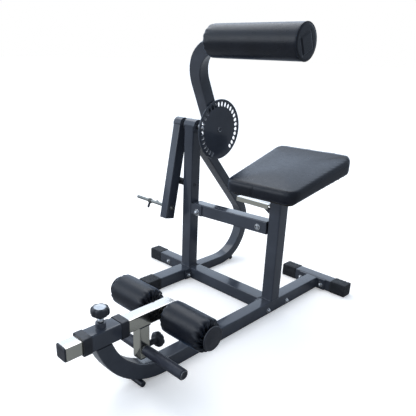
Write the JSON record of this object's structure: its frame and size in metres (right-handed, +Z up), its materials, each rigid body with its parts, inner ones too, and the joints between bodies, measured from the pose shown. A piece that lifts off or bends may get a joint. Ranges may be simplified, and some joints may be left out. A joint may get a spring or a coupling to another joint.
{
  "type": "crunch and back extension bench",
  "caption": "Free-standing seated bench: padded seat, swinging roller arm with drilled index disc, offset weight arm, and ankle rollers on a sliding tube.",
  "frame": {"origin": "on the floor, in the underside of the main rail, level with the centre line of the cross tube", "axes": "+Z up, +Y along the main rail from the ankle rollers to the rear stabiliser, weight arm on the -X side"},
  "size_m": [0.9265, 1.268, 1.0229],
  "materials": {
    "slate": "glossy slate grey paint",
    "chrome": "polished plating",
    "zinc": "bright zinc plating",
    "vinyl": "soft black coated upholstery cloth over foam",
    "rubber": "matt black ribbed rubber",
    "plastic": "black moulded plastic",
    "board": "raw board"
  },
  "bodies": {
    "frame": {"main_rail": "slate", "rail_end_plate": "slate", "rear_stabiliser": "slate", "stabiliser_cap_left": "rubber", "stabiliser_cap_right": "rubber", "cross_tube": "slate", "cross_plate_left": "slate", "cross_plate_right": "slate", "lever_rail": "slate", "lever_rail_cap": "rubber", "rear_brace": "slate", "outrigger": "slate", "outrigger_cap": "rubber", "front_peg": "plastic", "rear_peg": "plastic", "seat_post": "slate", "lever_post": "slate", "pivot_hub": "slate", "tie_tube": "slate", "tie_bracket": "slate", "tie_stub": "slate", "tie_bolt_left": "zinc", "tie_bolt_right": "zinc", "stop_peg": "rubber", "seat_pad": "vinyl", "seat_board": "board", "seat_plate": "slate", "seat_bracket": "chrome", "guide_sleeve": "slate", "collar_front": "plastic", "collar_rear": "plastic"},
    "crank": {"pivot_shaft": "zinc", "weight_hub": "slate", "weight_arm": "slate", "weight_arm_plug": "plastic", "weight_rod": "zinc", "index_disc": "slate"},
    "clip": {"clip_coil": "zinc", "clip_grip_front": "rubber", "clip_grip_rear": "rubber"},
    "lever": {"roller_arm": "slate", "arm_hub": "slate", "arm_plug": "plastic", "chest_roller": "vinyl"},
    "index_pull": {"index_pin": "plastic"},
    "slider": {"slide_tube": "chrome", "slide_plug": "plastic", "foot_post": "chrome", "foot_post_plug": "plastic", "foot_bar": "chrome", "foot_grip_left": "rubber", "foot_grip_right": "rubber", "roller_axle": "chrome", "axle_cap_left": "plastic", "axle_cap_right": "plastic"},
    "roller_left": {"ankle_roller_left": "vinyl"},
    "roller_right": {"ankle_roller_right": "vinyl"},
    "pop_pull": {"pop_knob": "plastic"},
    "lock_screw": {"lock_knob": "plastic"}
  },
  "joints": [
    {"name": "crank_pivot", "type": "hinge", "parent": "frame", "child": "crank", "pos_m": [-0.4, -0.005, 0.66], "axis": [-1, 0, 0], "range_deg": [0, 55]},
    {"name": "lever_index", "type": "hinge", "parent": "crank", "child": "lever", "pos_m": [-0.3265, -0.005, 0.66], "axis": [-1, 0, 0], "range_deg": [-87.2, 54.5]},
    {"name": "index_pull", "type": "slide", "parent": "lever", "child": "index_pull", "axis": [-1, 0, 0], "range_m": [0, 0.008], "stiffness_N_per_m": 400},
    {"name": "clip_slide", "type": "slide", "parent": "crank", "child": "clip", "axis": [-1, 0, 0], "range_m": [-0.07, 0.06]},
    {"name": "slide_adjust", "type": "slide", "parent": "frame", "child": "slider", "axis": [0, 1, 0], "range_m": [-0.012, 0.066]},
    {"name": "roller_left_spin", "type": "hinge", "parent": "slider", "child": "roller_left", "pos_m": [-0.12, -0.556, 0.209], "axis": [1, 0, 0], "continuous": true},
    {"name": "roller_right_spin", "type": "hinge", "parent": "slider", "child": "roller_right", "pos_m": [0.12, -0.556, 0.209], "axis": [1, 0, 0], "continuous": true},
    {"name": "pop_pull", "type": "slide", "parent": "frame", "child": "pop_pull", "axis": [0, 0, 1], "range_m": [0, 0.012], "stiffness_N_per_m": 600, "springref_m": -0.004},
    {"name": "lock_turn", "type": "hinge", "parent": "slider", "child": "lock_screw", "pos_m": [0, -0.59, 0.115], "axis": [0, 1, 0], "continuous": true}
  ]
}
